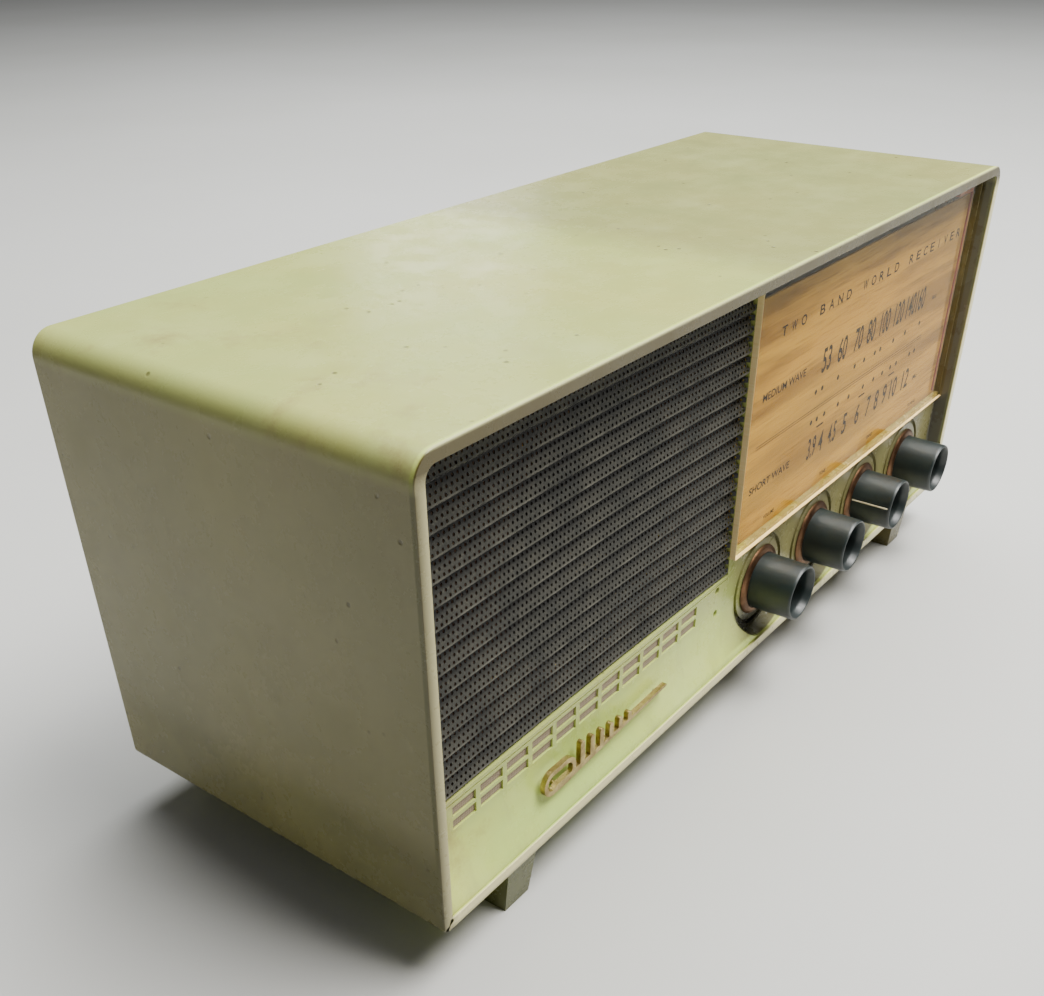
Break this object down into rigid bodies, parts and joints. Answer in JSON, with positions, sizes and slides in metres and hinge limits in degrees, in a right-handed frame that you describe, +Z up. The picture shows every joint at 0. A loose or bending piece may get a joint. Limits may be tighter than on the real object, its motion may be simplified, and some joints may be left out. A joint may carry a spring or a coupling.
{
  "type": "table radio",
  "caption": "Moulded table radio on stub feet with a folded perforated speaker grille, a wooden dial behind a clear sheet, a row of deep knobs and its valve works inside.",
  "frame": {"origin": "on the floor, below the middle of the whole radio's bounding box", "axes": "+Z up, the front with the dial and knobs faces -Y, +X to the right as seen from the front"},
  "size_m": [0.45, 0.184, 0.1975],
  "materials": {
    "moulded_shell": "gloss",
    "dark_knob": "gloss",
    "brass_trim": "satin",
    "clear_sheet": "polished",
    "dial_wood": "printed",
    "grille_sheet": "matt",
    "cloth": "woven",
    "tinned_steel": "satin",
    "bright_steel": "satin",
    "brown_board": "matt",
    "phenolic": "matt",
    "cream_plastic": "matt",
    "paper_cone": "matt",
    "copper_wire": "enamelled",
    "lamp_glass": "clear",
    "core_iron": "satin",
    "can_metal": "satin",
    "ferrite": "matt",
    "rubber": "matt",
    "red_paint": "satin",
    "dark_magnet": "painted"
  },
  "bodies": {
    "set": {"cabinet": "moulded_shell", "fascia": "moulded_shell", "vent_cloth": "cloth", "speaker_grille": "grille_sheet", "dial_plate": "dial_wood", "dial_lens": "clear_sheet", "ornament": "brass_trim", "feet": "moulded_shell", "foot_screws": "bright_steel", "chassis": "tinned_steel", "chassis_screws": "bright_steel", "volume_control": "tinned_steel", "tone_control": "tinned_steel", "band_switch": "phenolic", "tuning_bush": "brass_trim", "shaft_nuts": "brass_trim", "capacitor_frame": "tinned_steel", "capacitor_stator": "tinned_steel", "drive_cord": "cream_plastic", "dial_bracket": "tinned_steel", "pointer_rail": "bright_steel", "dial_lamps": "lamp_glass", "lamp_holders": "brass_trim", "speaker_baffle": "brown_board", "speaker_basket": "bright_steel", "speaker_magnet": "dark_magnet", "speaker_surround": "paper_cone", "speaker_screws": "bright_steel", "output_transformer": "core_iron", "mains_transformer": "core_iron", "valves": "lamp_glass", "valve_sockets": "phenolic", "if_cans": "can_metal", "smoothing_capacitor": "can_metal", "rod_aerial": "ferrite", "aerial_holders": "phenolic", "back_cover": "brown_board", "back_cover_screws": "bright_steel", "aerial_sockets": "phenolic", "cord_grommet": "rubber"},
    "volume": {"knob_volume": "dark_knob", "ring_volume": "brass_trim", "volume_shaft": "brass_trim"},
    "tone": {"knob_tone": "dark_knob", "ring_tone": "brass_trim", "tone_shaft": "brass_trim"},
    "band": {"knob_band": "dark_knob", "ring_band": "brass_trim", "band_shaft": "brass_trim"},
    "tuning_knob": {"knob_tuning": "dark_knob", "ring_tuning": "brass_trim", "tuning_spindle": "bright_steel"},
    "tuning_drum": {"capacitor_rotor": "bright_steel", "drive_drum": "cream_plastic"},
    "pulley_l": {"pulley_left": "cream_plastic"},
    "pulley_r": {"pulley_right": "cream_plastic"},
    "pointer": {"dial_pointer": "red_paint"},
    "cone": {"speaker_cone": "paper_cone", "voice_coil": "copper_wire"}
  },
  "joints": [
    {"name": "volume_turn", "type": "hinge", "parent": "set", "child": "volume", "pos_m": [0.0096, -0.065, 0.0521], "axis": [0, 1, 0], "range_deg": [0, 300]},
    {"name": "tone_turn", "type": "hinge", "parent": "set", "child": "tone", "pos_m": [0.0653, -0.065, 0.0521], "axis": [0, 1, 0], "range_deg": [0, 270]},
    {"name": "band_turn", "type": "hinge", "parent": "set", "child": "band", "pos_m": [0.121, -0.065, 0.0521], "axis": [0, 1, 0], "range_deg": [0, 60]},
    {"name": "capacitor_turn", "type": "hinge", "parent": "set", "child": "tuning_drum", "pos_m": [0.105, -0.055, 0.112], "axis": [0, -1, 0], "range_deg": [0, 180]},
    {"name": "pointer_travel", "type": "slide", "parent": "set", "child": "pointer", "axis": [-1, 0, 0], "range_m": [0, 0.156]},
    {"name": "tuning_turn", "type": "hinge", "parent": "set", "child": "tuning_knob", "pos_m": [0.1767, -0.065, 0.0521], "axis": [0, -1, 0], "range_deg": [0, 2580]},
    {"name": "pulley_left_turn", "type": "hinge", "parent": "set", "child": "pulley_l", "pos_m": [-0.003, -0.055, 0.18], "axis": [0, -1, 0], "range_deg": [0, 1780]},
    {"name": "pulley_right_turn", "type": "hinge", "parent": "set", "child": "pulley_r", "pos_m": [0.209, -0.055, 0.18], "axis": [0, -1, 0], "range_deg": [0, 1780]},
    {"name": "cone_move", "type": "slide", "parent": "set", "child": "cone", "axis": [0, 1, 0], "range_m": [-0.001, 0.001], "stiffness_N_per_m": 2000}
  ],
  "couplings": [
    {"joint": "pointer_travel", "follows": "capacitor_turn", "m_per_rad": 0.0493},
    {"joint": "tuning_turn", "follows": "capacitor_turn", "ratio": 14.29},
    {"joint": "pulley_left_turn", "follows": "capacitor_turn", "ratio": 9.86},
    {"joint": "pulley_right_turn", "follows": "capacitor_turn", "ratio": 9.86}
  ]
}
